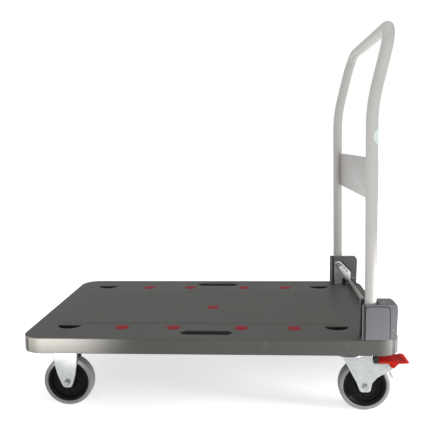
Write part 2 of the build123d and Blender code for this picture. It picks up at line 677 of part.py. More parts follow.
def build_cover():
    x_low = COVER_SIDE[0][0] - OVERLAP
    high = COVER_TOP + OVERLAP
    shell = side_plate(COVER_SIDE, *COVER_Y)
    long_edges = shell.edges().filter_by(Axis.Y).filter_by(lambda e: e.center().Z > COVER_TOP / 2)
    shell = fillet(long_edges, COVER_LONG_FILLET)
    shell -= top_slope(x_low)
    face_edges = shell.edges().group_by(Axis.Y)[-1].filter_by(lambda e: e.center().Z > COVER_FACE_FILLET)
    shell = fillet(face_edges, COVER_FACE_FILLET)
    shell -= panel_slab(GROOVE_W, COVER_Y[1] - GROOVE_DEPTH, PANEL_Y + OVERLAP)
    shell += panel_slab(0, COVER_Y[1] - GROOVE_DEPTH - SEAM, PANEL_Y)
    shell -= side_plate(COVER_CAVITY, *COVER_CAVITY_Y)
    shell -= block(x_low, COVER_SLOT_X, COVER_SLOT_Y, COVER_CAVITY_Y[1], -OVERLAP, high)
    shell -= side_plate(WINDOW, COVER_Y[0] - OVERLAP, COVER_CAVITY_Y[0] + OVERLAP)
    y0 = COVER_CAVITY_Y[0] - COVER_FACE_FILLET / 2
    y1 = COVER_CAVITY_Y[1] + COVER_FACE_FILLET / 2
    shell += block(PARTITION_X[0], PARTITION_X[1], y0, y1, PARTITION_Z[0], PARTITION_Z[1])
    x, y = TOP_SCREW
    shell += rod_z(x, y, TOP_BOSS_R, TOP_BOSS_Z, COVER_CAVITY[2][1] + OVERLAP)
    shell -= rod_z(x, y, TOP_SEAT_R, TOP_SEAT_Z, high)
    shell -= rod_z(x, y, COVER_SCREW_R + SEAM, TOP_SCREW_FOOT_Z - SEAM, high)
    shell -= near_outer(SIDE_SCREW, COVER_SCREW_R + SEAM)
    return shell - near_inner(INNER_SCREW, COVER_SCREW_R + SEAM)


def cover_screws():
    x, z = SIDE_SCREW
    face = COVER_Y[1]
    side = rod_y(x, z, COVER_SCREW_HEAD_R, face, face + SIDE_HEAD_T)
    side += rod_y(x, z, COVER_SCREW_R, OUTER_PLATE_Y[0] - OVERLAP, face + OVERLAP)
    x, y = TOP_SCREW
    top = rod_z(x, y, COVER_SCREW_HEAD_R, TOP_SEAT_Z, TOP_SEAT_Z + COVER_SCREW_HEAD_T)
    top += rod_z(x, y, COVER_SCREW_R, TOP_SCREW_FOOT_Z, TOP_SEAT_Z + OVERLAP)
    x, z = INNER_SCREW
    face = COVER_Y[0]
    inner = rod_y(x, z, COVER_SCREW_HEAD_R, face - COVER_SCREW_HEAD_T, face)
    inner += rod_y(x, z, COVER_SCREW_R, face - OVERLAP, INNER_PLATE_Y[1])
    return [side, top, inner]


def build_pivot_pin():
    return rod_y(PIVOT[0], PIVOT[1], PIN_R, PIVOT_PIN_Y, OUTER_PLATE_Y[1])


def build_lever_pin():
    x, z = LEVER_PIVOT
    head = rod_y(x, z, LEVER_HEAD_R, LEVER_HEAD_Y, LEVER_Y[0] - 2 * SEAM)
    shank = rod_y(x, z, LEVER_PIN_R, LEVER_KNOB_Y[0], INNER_PLATE_Y[1])
    return head + shank + rod_y(x, z, LEVER_KNOB_R, *LEVER_KNOB_Y)


def build_lever():
    plate = side_plate(LEVER_SIDE, *LEVER_Y)
    plate -= near_inner(LEVER_PIVOT, LEVER_PIN_R + RUNNING)
    return plate - near_inner(BAR_AT, BAR_R + SEAM)


def build_spring():
    pitch = 2 * SPRING_WIRE_R + SPRING_GAP
    coil = Helix(pitch=pitch, height=pitch * SPRING_TURNS, radius=SPRING_R)
    wire = sweep(Plane(coil @ 0, z_dir=coil % 0) * Circle(SPRING_WIRE_R), path=coil)
    return Pos(LEVER_PIVOT[0], SPRING_Y, LEVER_PIVOT[1]) * Rot(90, 0, 0) * wire


def bracket_bolt(x, y):
    head = rod_z(x, y, BRACKET_HEAD_R, BRACKET_BASE_T, BRACKET_BASE_T + BRACKET_HEAD_T)
    return head + rod_z(x, y, PLATE_BOLT_R, BRACKET_BOLT_FOOT_Z, BRACKET_BASE_T + OVERLAP)


def bracket_insert(x, y):
    body = rod_z(x, y, INSERT_R, BRACKET_INSERT_FOOT_Z + SEAM, -SKIN_T - SEAM)
    return body - rod_z(x, y, PLATE_BOLT_R + SEAM, BRACKET_BOLT_FOOT_Z - SEAM, 0)


def build_stop():
    x0, x1 = STOP_X
    body = block(x0, x1, STOP_FOOT_Y[0], STOP_FOOT_Y[1], 0, STOP_FOOT_T)
    body += block(x0, x1, STOP_Y[0], STOP_Y[1], 0, STOP_TOP_Z)
    peg = block(x0 + STOP_PEG_IN, x1 - STOP_PEG_IN, STOP_PEG_Y[0], STOP_PEG_Y[1], STOP_PEG_FOOT_Z, OVERLAP)
    return body + peg


bracket = build_bracket()
cover = build_cover()
lever = build_lever()
nodes["bracket_far"] = bracket
nodes["bracket_near"] = mirrored(bracket)
nodes["cover_far"] = cover
nodes["cover_near"] = mirrored(cover)
nodes["lever_far"] = lever
nodes["lever_near"] = mirrored(lever)
screws = cover_screws()
nodes["cover_screws"] = gather(screws + [mirrored(s) for s in screws])
pin = build_pivot_pin()
nodes["pivot_pins"] = gather([pin, mirrored(pin)])
lever_pin = build_lever_pin()
nodes["lever_pins"] = gather([lever_pin, mirrored(lever_pin)])
spring = build_spring()
nodes["lever_springs"] = gather([spring, mirrored(spring)])
stop = build_stop()
nodes["bar_stops"] = gather([stop, mirrored(stop)])
bar = pipe_y(BAR_AT[0], BAR_AT[1], BAR_R - BAR_WALL, BAR_R, -BAR_END_Y, BAR_END_Y)
nodes["release_bar"] = bar
head_bolts = [bracket_bolt(x, s * BRACKET_BOLT_Y) for s in both for x in BRACKET_BOLT_X]
nodes["bracket_bolts"] = gather(head_bolts)
low_inserts = [bracket_insert(x, s * BRACKET_BOLT_Y) for s in both for x in BRACKET_BOLT_X]
nodes["deck_inserts"] = gather(insert_list + low_inserts)


# ---------------------------------------------------------------- handle
def post_x(z):
    share = (z - FOOT[1]) / (KNEE[1] - FOOT[1])
    return FOOT[0] + share * (KNEE[0] - FOOT[0])


def build_tube():
    side_view = (FOOT, KNEE, CROWN_AT)
    points = [(x, -POST_Y, z) for x, z in side_view]
    points += [(x, POST_Y, z) for x, z in reversed(side_view)]
    path = FilletPolyline(*points, radius=[KNEE_R, CORNER_R, CORNER_R, KNEE_R])
    start = Plane(path @ 0, z_dir=path % 0)
    ring = Circle(POST_R) - Circle(POST_R - POST_WALL)
    return sweep(start * ring, path=path)


def build_bush(side):
    y = side * POST_Y
    low, high = BUSH_PROUD
    return pipe_y(PIVOT[0], PIVOT[1], PIN_R + RUNNING, BUSH_R, y - POST_R - low, y + POST_R + high)


def lean_plane(z):
    turn = math.degrees(math.atan2(FOOT[0] - KNEE[0], KNEE[1] - FOOT[1]))
    return Pos(post_x(z), 0, z) * Rot(0, -turn, 0)


def build_panel():
    """A shallow tray between the posts, its open side away from the deck."""
    mid = (PANEL_LOW_Z + PANEL_HIGH_Z) / 2
    half = (PANEL_HIGH_Z - PANEL_LOW_Z) / 2
    tray = block(PANEL_FRONT, PANEL_BACK, -PANEL_HALF_Y, PANEL_HALF_Y, -half, half)
    core = block(PANEL_FRONT + PANEL_T, PANEL_BACK - PANEL_T, -PANEL_HALF_Y + PANEL_T, PANEL_HALF_Y - PANEL_T,
                 -half + PANEL_T, half - PANEL_T)
    wide = PANEL_HALF_Y - PANEL_LIP
    tall = half - PANEL_LIP
    mouth = block(PANEL_BACK - 2 * PANEL_T, PANEL_BACK + OVERLAP, -wide, wide, -tall, tall)
    tray = lean_plane(mid) * (tray - core - mouth)
    for side in both:
        tray -= rod_along_post(side, POST_R + SEAM)
    return tray


def rod_along_post(side, radius):
    low = Vector(FOOT[0], side * POST_Y, FOOT[1])
    high = Vector(KNEE[0], side * POST_Y, KNEE[1])
    run = high - low
    mid = low + run * 0.5
    return Plane(mid, z_dir=run) * Cylinder(radius, run.length)


def build_label():
    """A round sticker wrapped on the near post, facing away from the deck."""
    turn = Rot(0, 0, LABEL_TURN)
    skin = Cylinder(POST_R + SEAM + LABEL_T, 4 * LABEL_R) - Cylinder(POST_R + SEAM, 4 * LABEL_R)
    disc = turn * Pos(POST_R, 0, 0) * Rot(0, 90, 0) * Cylinder(LABEL_R, 2 * POST_R)
    front = turn * block(-OVERLAP, 3 * POST_R, -3 * POST_R, 3 * POST_R, -LABEL_R, LABEL_R)
    return lean_plane(LABEL_Z) * Pos(0, -POST_Y, 0) * (skin & disc & front)


def build_plug(side):
    cap = rod_z(0, 0, POST_R - PLUG_PLAY, -PLUG_T, -SEAM)
    stem = rod_z(0, 0, POST_R - POST_WALL - PLUG_PLAY, -PLUG_T / 2, PLUG_DEEP)
    return lean_plane(FOOT[1]) * Pos(0, side * POST_Y, 0) * (cap + stem)


def build_lug(side):
    y = side * POST_Y
    plate = side_plate(LUG_SIDE, y - LUG_T / 2, y + LUG_T / 2)
    return plate - rod_along_post(side, POST_R + SEAM)


tube = build_tube()
for side in both:
    y = side * POST_Y
    tube -= rod_y(PIVOT[0], PIVOT[1], BUSH_R + SEAM, y - 2 * POST_R, y + 2 * POST_R)
nodes["handle_tube"] = tube
nodes["pivot_bushes"] = gather([build_bush(s) for s in both])
nodes["handle_panel"] = build_panel()
nodes["handle_label"] = build_label()
nodes["foot_plugs"] = gather([build_plug(s) for s in both])
nodes["lock_lugs"] = gather([build_lug(s) for s in both])


# ---------------------------------------------------------------- write
for name, shape in nodes.items():
    seated = Pos(SEAT_X, 0, DECK_TOP) * shape
    export_step(seated, os.path.join("parts", name + ".step"))
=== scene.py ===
import json
import math

import bmesh
import bpy
from mathutils import Matrix, Vector

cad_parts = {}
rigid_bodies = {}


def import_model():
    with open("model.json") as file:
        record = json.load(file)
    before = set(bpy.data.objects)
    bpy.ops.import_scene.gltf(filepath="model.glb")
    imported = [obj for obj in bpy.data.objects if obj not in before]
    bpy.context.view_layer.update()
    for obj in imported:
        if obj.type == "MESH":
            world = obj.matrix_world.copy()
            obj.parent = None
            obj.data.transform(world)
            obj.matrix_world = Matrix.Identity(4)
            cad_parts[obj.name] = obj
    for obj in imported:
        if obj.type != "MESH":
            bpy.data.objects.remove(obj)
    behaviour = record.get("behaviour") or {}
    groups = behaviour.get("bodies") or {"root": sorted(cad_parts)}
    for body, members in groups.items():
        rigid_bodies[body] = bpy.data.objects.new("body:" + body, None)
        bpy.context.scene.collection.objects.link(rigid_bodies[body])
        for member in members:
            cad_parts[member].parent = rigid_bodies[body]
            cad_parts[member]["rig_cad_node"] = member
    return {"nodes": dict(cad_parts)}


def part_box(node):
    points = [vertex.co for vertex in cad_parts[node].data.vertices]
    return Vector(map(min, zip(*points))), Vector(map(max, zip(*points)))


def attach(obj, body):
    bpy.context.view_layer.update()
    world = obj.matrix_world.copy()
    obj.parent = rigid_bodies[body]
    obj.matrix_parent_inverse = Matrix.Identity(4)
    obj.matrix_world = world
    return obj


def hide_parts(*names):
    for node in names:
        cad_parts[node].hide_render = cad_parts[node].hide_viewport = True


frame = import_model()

MM = 0.001
NODES = frame["nodes"]
SIDES = {"near": -1, "far": 1}
WHITE = (1.0, 1.0, 1.0)

# the CAD part is drawn about the middle of the deck's top face; this seats it in the row frame
SEAT = Vector((-16.3, 0.0, 184.5))

for stray in [o for o in bpy.context.scene.objects if o.type != "EMPTY" and "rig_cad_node" not in o]:
    bpy.data.objects.remove(stray)
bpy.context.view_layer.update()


# ------------------------------------------------------------------ shader nodes
def shader(name, rough=0.5, metal=0.0, specular=0.5):
    """A new node material, its tree, its Principled node and its object coordinates."""
    material = bpy.data.materials.new(name)
    material.use_nodes = True
    tree = material.node_tree
    bsdf = tree.nodes["Principled BSDF"]
    bsdf.inputs["Roughness"].default_value = rough
    bsdf.inputs["Metallic"].default_value = metal
    bsdf.inputs["Specular IOR Level"].default_value = specular
    coord = tree.nodes.new("ShaderNodeTexCoord").outputs["Object"]
    return material, tree, bsdf, coord


def noise_out(tree, vector, scale, detail):
    texture = tree.nodes.new("ShaderNodeTexNoise")
    texture.inputs["Scale"].default_value = scale
    texture.inputs["Detail"].default_value = detail
    texture.inputs["Roughness"].default_value = 0.55
    tree.links.new(vector, texture.inputs["Vector"])
    return texture.outputs["Fac"]


def stretched(tree, vector, scale):
    """The same coordinates, squeezed along one axis or another."""
    mapping = tree.nodes.new("ShaderNodeMapping")
    mapping.inputs["Scale"].default_value = scale
    tree.links.new(vector, mapping.inputs["Vector"])
    return mapping.outputs["Vector"]


def cells_out(tree, vector, scale):
    texture = tree.nodes.new("ShaderNodeTexVoronoi")
    texture.inputs["Scale"].default_value = scale
    tree.links.new(vector, texture.inputs["Vector"])
    return texture.outputs["Color"]


def ramp_out(tree, value, dark, light, low=0.35, high=0.65):
    """Dark where the value is under low, light where it is over high."""
    ramp = tree.nodes.new("ShaderNodeValToRGB")
    for element, place, colour in zip(ramp.color_ramp.elements, (low, high), (dark, light)):
        element.position = place
        element.color = (*colour, 1.0)
    tree.links.new(value, ramp.inputs["Fac"])
    return ramp.outputs["Color"]


def range_out(tree, value, low, high, from_low=0.3, from_high=0.7):
    made = tree.nodes.new("ShaderNodeMapRange")
    made.inputs["From Min"].default_value = from_low
    made.inputs["From Max"].default_value = from_high
    made.inputs["To Min"].default_value = low
    made.inputs["To Max"].default_value = high
    tree.links.new(value, made.inputs["Value"])
    return made.outputs["Result"]


def math_out(tree, operation, first, second=None):
    made = tree.nodes.new("ShaderNodeMath")
    made.operation = operation
    for socket, value in zip(made.inputs, (first, second)):
        if isinstance(value, float):
            socket.default_value = value
        elif value is not None:
            tree.links.new(value, socket)
    return made.outputs["Value"]


def tone_out(tree, first, second, share):
    """Two noises added up, the first with the given share."""
    return math_out(tree, "ADD", math_out(tree, "MULTIPLY", first, share),
                    math_out(tree, "MULTIPLY", second, 1.0 - share))


def band_out(tree, value, low, high):
    """One between low and high, nought outside."""
    return math_out(tree, "MULTIPLY", math_out(tree, "GREATER_THAN", value, low),
                    math_out(tree, "LESS_THAN", value, high))


def mix_out(tree, share, body, colour):
    """The body colour with a plain colour mixed in by share."""
    made = tree.nodes.new("ShaderNodeMix")
    made.data_type = "RGBA"
    share_socket, body_socket, colour_socket = made.inputs[0], made.inputs[6], made.inputs[7]
    tree.links.new(share, share_socket)
    tree.links.new(body, body_socket)
    colour_socket.default_value = (*colour, 1.0)
    return made.outputs[2]


def split_out(tree, vector):
    split = tree.nodes.new("ShaderNodeSeparateXYZ")
    tree.links.new(vector, split.inputs["Vector"])
    return split.outputs["X"], split.outputs["Y"], split.outputs["Z"]


def bump(tree, bsdf, height, distance):
    made = tree.nodes.new("ShaderNodeBump")
    made.inputs["Distance"].default_value = distance
    made.inputs["Strength"].default_value = 1.0
    tree.links.new(height, made.inputs["Height"])
    tree.links.new(made.outputs["Normal"], bsdf.inputs["Normal"])


# ------------------------------------------------------------------ finishes
def grained(tree, coord, dark, light, blotch=7.0, grain=1400.0, share=0.7):
    """Slow clouding, fine grain, and the colour that the two make."""
    slow = noise_out(tree, coord, scale=blotch, detail=4.0)
    fine = noise_out(tree, coord, scale=grain, detail=2.0)
    return slow, fine, ramp_out(tree, tone_out(tree, slow, fine, share), dark, light)


def finish_grain(tree, bsdf, colour, slow, rough, fine, depth):
    """Joins a grained colour, an uneven sheen and the grain's relief to the shader."""
    tree.links.new(colour, bsdf.inputs["Base Color"])
    tree.links.new(range_out(tree, slow, *rough), bsdf.inputs["Roughness"])
    bump(tree, bsdf, fine, depth)


def moulded(name, dark, light, rough=(0.45, 0.6), depth=0.00004, specular=0.4):
    """Moulded plastic or rubber: slow tone changes, fine grain and an uneven sheen."""
    material, tree, bsdf, coord = shader(name, specular=specular)
    slow, fine, body = grained(tree, coord, dark, light)
    finish_grain(tree, bsdf, body, slow, rough, fine, depth)
    return material


def plated(name, dark, light, rough=(0.3, 0.45), spangle=160.0, brush=WHITE, depth=0.00002):
    """Zinc plated steel: faint crystals over slow clouding, with fine rubbing marks."""
    material, tree, bsdf, coord = shader(name, metal=1.0)
    crystals = cells_out(tree, coord, spangle)
    cloud = noise_out(tree, coord, scale=22.0, detail=5.0)
    rub = noise_out(tree, stretched(tree, coord, brush), scale=900.0, detail=2.0)
    tone = tone_out(tree, cloud, crystals, share=0.75)
    body = ramp_out(tree, tone, dark, light, low=0.3, high=0.68)
    finish_grain(tree, bsdf, body, cloud, rough, rub, depth)
    return material


def powder_coat(name, dark, light, rough=(0.34, 0.46)):
    """Stove enamelled steel: even off-white with orange peel under a thin gloss."""
    material, tree, bsdf, coord = shader(name)
    bsdf.inputs["Coat Weight"].default_value = 0.25
    bsdf.inputs["Coat Roughness"].default_value = 0.25
    slow = noise_out(tree, coord, scale=5.0, detail=3.0)
    peel = noise_out(tree, coord, scale=620.0, detail=2.0)
    body = ramp_out(tree, slow, dark, light, low=0.3, high=0.7)
    finish_grain(tree, bsdf, body, slow, rough, peel, 0.00003)
    return material


DECK_DARK = (0.059, 0.060, 0.053)
DECK_LIGHT = (0.074, 0.075, 0.067)
DECK_SCUFF = (0.105, 0.105, 0.098)
# painted shade for the wells and for the ribs under the deck
DECK_WELL_SHADE = (0.010, 0.010, 0.009)

# each set of scuffs: stretch, scale, strongest mark, and the noise values between which it fades in
SCUFFS = (((3.0, 60.0, 3.0), 9.0, 0.35, (0.62, 0.72)),
          ((70.0, 5.0, 3.0), 6.0, 0.30, (0.63, 0.73)))

# the box in which faces are taken as lying in a well or among the ribs below the deck, where they get
# painted shade, in metres
WELL_MIDDLE_X = -0.0113
WELL_HALF_X = 0.443
WELL_HALF_Y = 0.290
WELL_FADE_Z = (0.1805, 0.1832)


def deck_material():
    """Grey polypropylene: leather grain, faint scuffs on top, and painted shade in the wells and on the ribs
    below the skin.
    """
    material, tree, bsdf, coord = shader("deck_plastic_look", specular=0.42)
    slow, fine, body = grained(tree, coord, DECK_DARK, DECK_LIGHT, blotch=4.0, grain=1500.0, share=0.6)
    marks = []
    for stretch, scale, strongest, fade in SCUFFS:
        noise = noise_out(tree, stretched(tree, coord, stretch), scale, detail=5.0)
        marks.append(range_out(tree, noise, 0.0, strongest, *fade))
    body = mix_out(tree, math_out(tree, "MAXIMUM", *marks), body, DECK_SCUFF)
    x, y, z = split_out(tree, coord)
    from_middle = math_out(tree, "ABSOLUTE", math_out(tree, "ADD", x, -WELL_MIDDLE_X))
    along = math_out(tree, "LESS_THAN", from_middle, WELL_HALF_X)
    across = math_out(tree, "LESS_THAN", math_out(tree, "ABSOLUTE", y), WELL_HALF_Y)
    below = range_out(tree, z, 1.0, 0.0, *WELL_FADE_Z)
    in_shade = math_out(tree, "MULTIPLY", math_out(tree, "MULTIPLY", across, along), below)
    # painted shade: faces below the top skin inside the box are mixed towards near black
    body = mix_out(tree, in_shade, body, DECK_WELL_SHADE)
    finish_grain(tree, bsdf, body, slow, (0.44, 0.56), fine, 0.00005)
    return material


COVER_DARK = (0.128, 0.129, 0.139)
COVER_LIGHT = (0.148, 0.149, 0.160)
COVER_SHADE = (0.022, 0.022, 0.024)
COVER_TURN_X = (0.3545, 0.3602)
COVER_GROOVE_Y = (0.2981, 0.2987)


def cover_material():
    """Grey moulded cover, with painted shade where it turns in beside the post and in the groove round its
    outer panel.
    """
    material, tree, bsdf, coord = shader("cover_look", specular=0.45)
    slow, fine, body = grained(tree, coord, COVER_DARK, COVER_LIGHT)
    x, y = split_out(tree, coord)[:2]
    turned_in = band_out(tree, x, *COVER_TURN_X)
    groove = band_out(tree, math_out(tree, "ABSOLUTE", y), *COVER_GROOVE_Y)
    # painted shade: the turned-in strip and the groove band are mixed towards near black
    body = mix_out(tree, math_out(tree, "MAXIMUM", turned_in, groove), body, COVER_SHADE)
    finish_grain(tree, bsdf, body, slow, (0.38, 0.5), fine, 0.00004)
    return material


LOOKS = {
    "deck": deck_material(),
    "tread": moulded("tread_look", (0.074, 0.075, 0.067), (0.095, 0.096, 0.087),
                     rough=(0.4, 0.5), depth=0.00003),
    "cover": cover_material(),
    "dots": moulded("dot_look", (0.235, 0.010, 0.020), (0.310, 0.016, 0.030),
                    rough=(0.5, 0.65), depth=0.00006, specular=0.14),
    "pedal": moulded("pedal_look", (0.300, 0.005, 0.002), (0.380, 0.009, 0.004),
                     rough=(0.5, 0.62), specular=0.12),
    "black": moulded("black_look", (0.006, 0.006, 0.006), (0.013, 0.013, 0.013),
                     rough=(0.38, 0.5), specular=0.3),
    "hub": moulded("hub_look", (0.003, 0.003, 0.003), (0.007, 0.007, 0.0075),
                   rough=(0.34, 0.46), specular=0.10),
    "tyre": moulded("tyre_look", (0.205, 0.208, 0.200), (0.262, 0.265, 0.256),
                    rough=(0.6, 0.75), depth=0.00006, specular=0.25),
    "zinc": plated("zinc_look", (0.40, 0.42, 0.42), (0.51, 0.53, 0.53)),
    "dull": plated("dull_zinc_look", (0.42, 0.42, 0.43), (0.55, 0.55, 0.56), rough=(0.42, 0.55)),
    "bright": plated("bright_zinc_look", (0.86, 0.86, 0.86), (0.92, 0.92, 0.92),
                     rough=(0.30, 0.36), spangle=700.0, depth=0.000005),
    "bar": plated("bar_look", (0.36, 0.37, 0.33), (0.50, 0.51, 0.47),
                  rough=(0.3, 0.42), brush=(1.0, 0.05, 1.0)),
    "steel": plated("fastener_look", (0.34, 0.34, 0.35), (0.48, 0.48, 0.49),
                    rough=(0.3, 0.42), spangle=500.0),
    "paint": powder_coat("handle_look", (0.500, 0.490, 0.462), (0.548, 0.537, 0.508)),
    # the panel's paint is the handle's paint made a little darker, as painted shade on the panel's front
    "panel": powder_coat("panel_look", (0.455, 0.436, 0.418), (0.495, 0.474, 0.455)),
    "nylon": moulded("nylon_look", (0.50, 0.50, 0.47), (0.62, 0.62, 0.59), rough=(0.4, 0.5)),
    "film": moulded("label_look", (0.70, 0.78, 0.75), (0.76, 0.83, 0.80),
                    rough=(0.2, 0.3), depth=0.00001),
}


# ------------------------------------------------------------------ making pieces
def seat(x, y, z):
    """A point of the part, in mm about the deck's top, as a place in the row frame in metres."""
    return (Vector((x, y, z)) + SEAT) * MM


def middle(node):
    low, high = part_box(node)
    return (low + high) / 2


def add_piece(name, mesh, body, look, replaced=(), smooth_deg=None):
    """Links a mesh as a piece that rides on a body."""
    made = bpy.data.objects.new(name, mesh)
    bpy.context.scene.collection.objects.link(made)
    mesh.materials.clear()
    mesh.materials.append(LOOKS[look])
    mesh.polygons.foreach_set("use_smooth", [True] * len(mesh.polygons))
    if smooth_deg is not None:
        mesh.set_sharp_from_angle(angle=math.radians(smooth_deg))
    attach(made, body)
    if replaced:
        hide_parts(*replaced)
    return made


def soften(target, width, weld=False):
    """Rounds every crease, as pressing, moulding or tumbling leaves it; width is in mm."""
    if weld:
        join = target.modifiers.new("join", "WELD")
        join.merge_threshold = 0.002 * MM
    edge = target.modifiers.new("edge", "BEVEL")
    edge.width = width * MM
    edge.segments = 2
    edge.limit_method = "ANGLE"
    edge.angle_limit = math.radians(32.0)
    edge.use_clamp_overlap = True
    even = target.modifiers.new("even", "WEIGHTED_NORMAL")
    even.keep_sharp = False


def thicken(target, thickness):
    """Turns a surface into sheet, its thickness in mm laid on the inner side."""
    wall = target.modifiers.new("wall", "SOLIDIFY")
    wall.thickness = thickness * MM
    wall.offset = -1.0
    wall.use_even_offset = True


def dress(look, *names, soft=0.0):
    """Gives kept CAD nodes their finish, and eases their edges."""
    for name in names:
        target = NODES[name]
        for held in target.material_slots:
            held.material = LOOKS[look]
        if not target.material_slots:
            target.data.materials.append(LOOKS[look])
        if soft:
            soften(target, soft, weld=True)


def mesh_from(name, verts, faces):
    mesh = bpy.data.meshes.new(name)
    mesh.from_pydata([tuple(v) for v in verts], [], faces)
    mesh.validate()
    mesh.update()
    return mesh


def flip_outward(mesh):
    """Turns the faces of a closed mesh outwards."""
    work = bmesh.new()
    work.from_mesh(mesh)
    bmesh.ops.recalc_face_normals(work, faces=work.faces)
    work.to_mesh(mesh)
    work.free()
    return mesh


def flip_outward_shell(mesh, outward):
    """Turns an open shell so that its first, flat face looks outward."""
    if mesh.polygons[0].normal.dot(outward) < 0:
        mesh.flip_normals()
    return mesh


def join_meshes(name, meshes):
    """One mesh from several."""
    work = bmesh.new()
    for mesh in meshes:
        work.from_mesh(mesh)
    made = bpy.data.meshes.new(name)
    work.to_mesh(made)
    work.free()
    return made


def mirror_y(mesh):
    """A copy of a mesh on the other side of the trolley."""
    made = mesh.copy()
    made.transform(Matrix.Scale(-1, 4, Vector((0, 1, 0))))
    made.flip_normals()
    return made


def stand_up(mesh, spot):
    """Turns a lathed mesh's line from Y to Z and seats it at a spot."""
    mesh.transform(Matrix.Translation(spot) @ Matrix.Rotation(math.radians(90), 4, "X"))
    return flip_outward(mesh)


def bands(rows, count):
    """The quads between neighbouring rows of vertex numbers, each row a ring of count; a quad that
    meets a point loses the doubled corner."""
    faces = []
    for low, high in zip(rows, rows[1:]):
        for i in range(count):
            j = (i + 1) % count
            loop = [low[i], low[j], high[j], high[i]]
            loop = [v for n, v in enumerate(loop) if v not in loop[:n]]
            if len(loop) > 2:
                faces.append(loop)
    return faces


def lathe(name, profile, centre, steps=96):
    """Turns (radius, y) points in mm about a line along Y through centre; a zero radius closes the form."""
    verts = []
    rows = []
    for radius, y in profile:
        if radius == 0.0:
            rows.append([len(verts)] * steps)
            verts.append(centre + Vector((0, y, 0)) * MM)
            continue
        rows.append([len(verts) + i for i in range(steps)])
        for i in range(steps):
            turn = 2 * math.pi * i / steps
            verts.append(centre + Vector((radius * math.cos(turn), y, radius * math.sin(turn))) * MM)
    return flip_outward(mesh_from(name, verts, bands(rows, steps)))


def there_and_back(half):
    """A closed profile from one half of it, the other half being its mirror image in y."""
    return half + [(r, -y) for r, y in reversed(half)] + [half[0]]


def rounded(points, radius, steps=5):
    """A closed 2-D outline with its corners turned into soft curves of about the given radius."""
    made = []
    count = len(points)
    for i, corner in enumerate(points):
        here = Vector(corner)
        back = Vector(points[i - 1]) - here
        ahead = Vector(points[(i + 1) % count]) - here
        angle = back.angle(ahead)
        if angle > math.radians(174):
            made.append(here)
            continue
        reach = min(radius / math.tan(angle / 2), 0.46 * back.length, 0.46 * ahead.length)
        start = here + back.normalized() * reach
        end = here + ahead.normalized() * reach
        for k in range(steps + 1):
            t = k / steps
            made.append(start * (1 - t) ** 2 + here * (2 * t * (1 - t)) + end * t ** 2)
    return made


def circle_points(x, z, radius, steps=32):
    turns = [2 * math.pi * i / steps for i in range(steps)]
    return [Vector((x + radius * math.cos(turn), z + radius * math.sin(turn))) for turn in turns]


def cut_plate(name, outline, holes, y0, y1, edge):
    """Sheet metal cut to an outline in the (x, z) plane, with holes and eased edges, in mm."""
    curve = bpy.data.curves.new(name, "CURVE")
    curve.dimensions = "2D"
    curve.fill_mode = "BOTH"
    curve.extrude = (abs(y1 - y0) / 2 - edge) * MM
    curve.bevel_depth = edge * MM
    curve.bevel_resolution = 2
    curve.offset = -edge * MM
    for loop in [outline, *holes]:
        spline = curve.splines.new("POLY")
        spline.points.add(len(loop) - 1)
        for point, place in zip(spline.points, loop):
            point.co = (place[0] * MM, place[1] * MM, 0, 1)
        spline.use_cyclic_u = True
    holder = bpy.data.objects.new(name, curve)
    bpy.context.scene.collection.objects.link(holder)
    bpy.context.view_layer.update()
    ready = bpy.data.meshes.new_from_object(holder.evaluated_get(bpy.context.evaluated_depsgraph_get()))
    bpy.data.objects.remove(holder)
    shift = seat(0, (y0 + y1) / 2, 0)
    ready.transform(Matrix.Translation(shift) @ Matrix.Rotation(math.radians(90), 4, "X"))
    work = bmesh.new()
    work.from_mesh(ready)
    bmesh.ops.remove_doubles(work, verts=work.verts, dist=0.004 * MM)
    bmesh.ops.recalc_face_normals(work, faces=work.faces)
    work.to_mesh(ready)
    work.free()
    return ready


def offset_loop(points, inset):
    """A closed 2-D outline moved inwards by inset."""
    area = sum(p.x * q.y - q.x * p.y for p, q in zip(points, points[1:] + points[:1]))
    turn = 1.0 if area > 0 else -1.0
    made = []
    for i, here in enumerate(points):
        before = (here - points[i - 1]).normalized()
        after = (points[(i + 1) % len(points)] - here).normalized()
        square = Vector((-before.y, before.x))
        normal = (square + Vector((-after.y, after.x))).normalized() * turn
        lean = max(0.5, normal.dot(square * turn))
        made.append(here + normal * (inset / lean))
    return made


def pressing(name, outline, place, depth, bend, lip=0.0, steps=4):
    """Pressed sheet: a flat face with its rim bent back by depth, and a lip bent in again.
    place(u, v, d) puts the outline's point at depth d behind the face."""
    turns = [math.pi / 2 * k / steps for k in range(steps + 1)]
    rings = [(bend * (1 - math.sin(turn)), bend * (1 - math.cos(turn))) for turn in turns]
    rings.append((0.0, depth - (bend if lip else 0.0)))
    if lip:
        rings += [(bend * (1 - math.cos(turn)), depth - bend * (1 - math.sin(turn))) for turn in turns[1:]]
        rings.append((lip, depth))
    verts = []
    rows = []
    for inset, deep in rings:
        loop = offset_loop(outline, inset)
        rows.append([len(verts) + i for i in range(len(loop))])
        verts.extend(place(p.x, p.y, deep) for p in loop)
    return mesh_from(name, verts, [rows[0][::-1], *bands(rows, len(outline))])


def fillet_path(points, radii, steps=14):
    """A 3-D run of straight lines with an arc of the given radius at each inner corner."""
    made = [Vector(points[0])]
    for i in range(1, len(points) - 1):
        here = Vector(points[i])
        back = (Vector(points[i - 1]) - here).normalized()
        ahead = (Vector(points[i + 1]) - here).normalized()
        half = back.angle(ahead) / 2
        reach = radii[i - 1] / math.tan(half)
        centre = here + (back + ahead).normalized() * (radii[i - 1] / math.sin(half))
        start = here + back * reach - centre
        end = here + ahead * reach - centre
        sweep = start.angle(end)
        for k in range(steps + 1):
            t = k / steps
            spoke = (start * math.sin((1 - t) * sweep) + end * math.sin(t * sweep)) / math.sin(sweep)
            made.append(centre + spoke)
    made.append(Vector(points[-1]))
    return made


